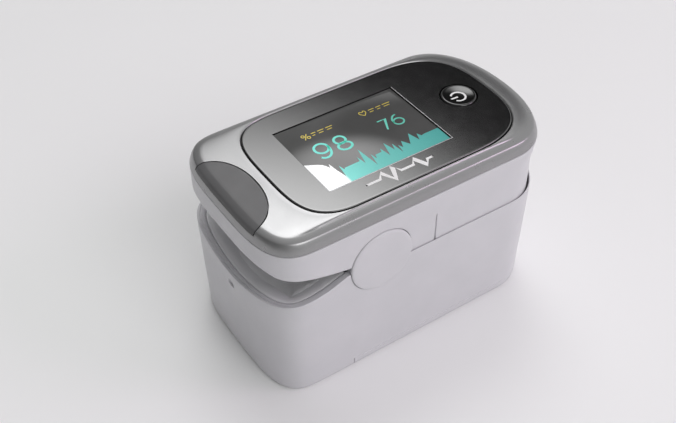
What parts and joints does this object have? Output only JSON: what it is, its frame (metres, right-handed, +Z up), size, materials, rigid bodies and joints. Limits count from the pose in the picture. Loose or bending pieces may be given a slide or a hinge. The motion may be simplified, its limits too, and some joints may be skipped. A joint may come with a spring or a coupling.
{
  "type": "fingertip pulse oximeter",
  "caption": "Fingertip pulse oximeter: a spring clip with a white body, silver bezel, dark display panel, round power button and a padded finger mouth.",
  "frame": {"origin": "middle of the bottom face, on the surface it rests on", "axes": "+X runs from the finger mouth to the squeezed rear end, +Y is the left side seen from the rear end, +Z is up"},
  "size_m": [0.058, 0.0332, 0.0352],
  "materials": {
    "silver_paint": "metallic silver paint on ABS",
    "grip_grey": "satin dark grey",
    "white_abs": "white satin-gloss ABS",
    "tinted_lens": "polished black-tinted PMMA",
    "screen_glass": "polished clear window over the display",
    "button_black": "polished black",
    "silicone_grey": "matt silicone",
    "board_green": "solder mask",
    "chip_black": "moulded epoxy",
    "steel": "bright steel",
    "frame_grey": "moulded grey",
    "cell_jacket": "printed foil jacket, plain",
    "clear_window": "clear",
    "flex_amber": "polyimide",
    "lead_red": "insulated wire",
    "lead_black": "insulated wire"
  },
  "bodies": {
    "base": {"lower_housing": "white_abs", "lower_finger_pad": "silicone_grey", "lower_pad_frame": "frame_grey", "lower_sensor_window": "clear_window", "photodiode": "chip_black", "photodiode_board": "board_green", "battery_tray": "frame_grey", "battery_cell_1": "cell_jacket", "battery_cell_2": "cell_jacket", "contact_spring_1": "steel", "contact_spring_2": "steel", "contact_plate_front": "steel", "contact_plate_rear_1": "steel", "contact_plate_rear_2": "steel", "tray_screw_1": "steel", "tray_screw_2": "steel", "frame_screw_rear": "steel", "pivot_pin_left": "steel", "pivot_pin_right": "steel", "pivot_cap_left": "white_abs", "pivot_cap_right": "white_abs", "torsion_spring_left": "steel", "torsion_spring_right": "steel", "sensor_flex": "flex_amber", "battery_lead_positive": "lead_red", "battery_lead_negative": "lead_black"},
    "clip_top": {"top_bezel": "silver_paint", "front_grip_inlay": "grip_grey", "display_lens": "tinted_lens", "screen_glass": "screen_glass", "display_module": "chip_black", "tact_switch": "steel", "main_board": "board_green", "control_chip": "chip_black", "sensor_chip": "chip_black", "boost_coil": "chip_black", "beeper": "chip_black", "flex_connector": "white_abs", "upper_housing": "white_abs", "upper_finger_pad": "silicone_grey", "upper_sensor_window": "clear_window", "led_emitter": "clear_window", "led_board": "board_green", "bezel_screw_1": "steel", "bezel_screw_2": "steel", "bezel_screw_3": "steel", "bezel_screw_4": "steel"},
    "button": {"power_button": "button_black", "switch_plunger": "chip_black"},
    "door": {"battery_door": "white_abs"}
  },
  "joints": [
    {"name": "clip_hinge", "type": "hinge", "parent": "base", "child": "clip_top", "pos_m": [-0.00917, 0, 0.0237], "axis": [0, 1, 0], "range_deg": [0, 10], "stiffness_Nm_per_rad": 0.35, "springref_deg": -14.32, "deforming": ["torsion_spring_left", "torsion_spring_right", "sensor_flex", "battery_lead_positive", "battery_lead_negative"]},
    {"name": "button_press", "type": "slide", "parent": "clip_top", "child": "button", "axis": [0, 0, -1], "range_m": [0, 0.0003], "stiffness_N_per_m": 1500},
    {"name": "battery_door_slide", "type": "slide", "parent": "base", "child": "door", "axis": [1, 0, 0], "range_m": [0, 0.044]}
  ]
}
